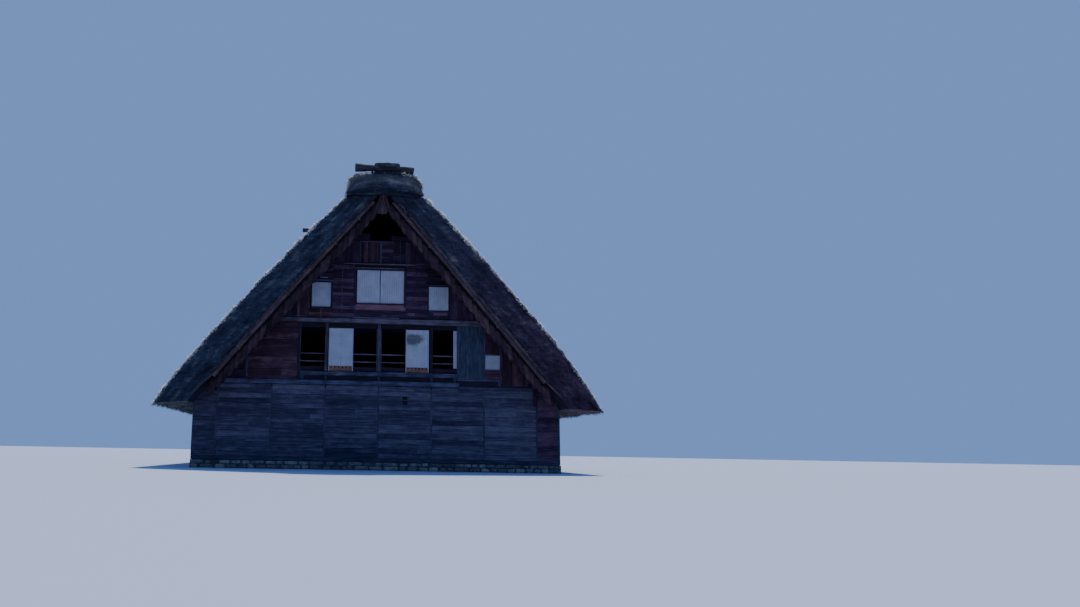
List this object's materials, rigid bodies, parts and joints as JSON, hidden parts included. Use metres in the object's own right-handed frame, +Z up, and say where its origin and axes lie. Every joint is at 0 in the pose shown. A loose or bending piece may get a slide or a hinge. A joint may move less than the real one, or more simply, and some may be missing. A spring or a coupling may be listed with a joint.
{
  "type": "thatched farmhouse",
  "caption": "Steep thatched farmhouse with boarded gable walls, an open gallery storey, paper windows, floors and a barrel ridge",
  "frame": {"origin": "on the ground under the middle of the house", "axes": "+Z up, -Y is the way the front gable faces, +X to the right of someone facing the front gable"},
  "size_m": [16.56, 22.1, 11.5405],
  "materials": {
    "thatch": "old weathered reed thatch",
    "ridge_thatch": "grey trimmed reed thatch",
    "reed": "bundled reed, shaggy",
    "stone": "rough fieldstone",
    "weathered_boards": "grey weathered boards",
    "grey_wood": "grey weathered beam",
    "pole_wood": "bare pole, weathered",
    "paper": "white paper on a wooden lattice",
    "sooty_wood": "dark soot-brown boards"
  },
  "bodies": {
    "root": {"barge_pole_back_left": "pole_wood", "barge_pole_back_right": "pole_wood", "barge_pole_front_left": "pole_wood", "barge_pole_front_right": "pole_wood", "beam_back_lower": "grey_wood", "beam_back_upper": "grey_wood", "beam_front_lower": "grey_wood", "beam_front_upper": "grey_wood", "door_lintel": "weathered_boards", "entrance_door": "sooty_wood", "foundation": "stone", "gable_wall_back_gallery": "sooty_wood", "gable_wall_back_loft": "sooty_wood", "gable_wall_back_top": "sooty_wood", "gable_wall_front_left": "sooty_wood", "gable_wall_front_loft": "sooty_wood", "gable_wall_front_right": "sooty_wood", "gable_wall_front_top": "sooty_wood", "gallery_post_1": "sooty_wood", "gallery_post_2": "sooty_wood", "gallery_post_3": "sooty_wood", "gallery_rail_lower": "sooty_wood", "gallery_rail_upper": "sooty_wood", "gallery_shoji_1": "paper", "gallery_shoji_2": "paper", "gallery_shutter": "grey_wood", "gallery_sill_front": "sooty_wood", "gallery_window_right": "paper", "gallery_windows_back": "paper", "ground_floor": "sooty_wood", "hood_front": "grey_wood", "loft_floor": "sooty_wood", "loft_window_back": "paper", "loft_window_back_small_left": "paper", "loft_window_back_small_right": "paper", "loft_window_left_leaf": "paper", "loft_window_right_leaf": "paper", "loft_window_small_left": "paper", "loft_window_small_right": "paper", "lower_wall_back": "weathered_boards", "lower_wall_front": "weathered_boards", "lower_wall_left": "weathered_boards", "lower_wall_right_front": "weathered_boards", "lower_wall_right_rear": "weathered_boards", "ridge_cap": "ridge_thatch", "ridge_log_1": "pole_wood", "ridge_log_2": "pole_wood", "ridge_log_3": "pole_wood", "ridge_log_4": "pole_wood", "ridge_log_5": "pole_wood", "ridge_poles": "pole_wood", "second_floor": "sooty_wood", "thatch_left": "thatch", "thatch_right": "thatch", "verge_band_back_left": "reed", "verge_band_back_right": "reed", "verge_band_front_left": "reed", "verge_band_front_right": "reed"}
  },
  "joints": []
}
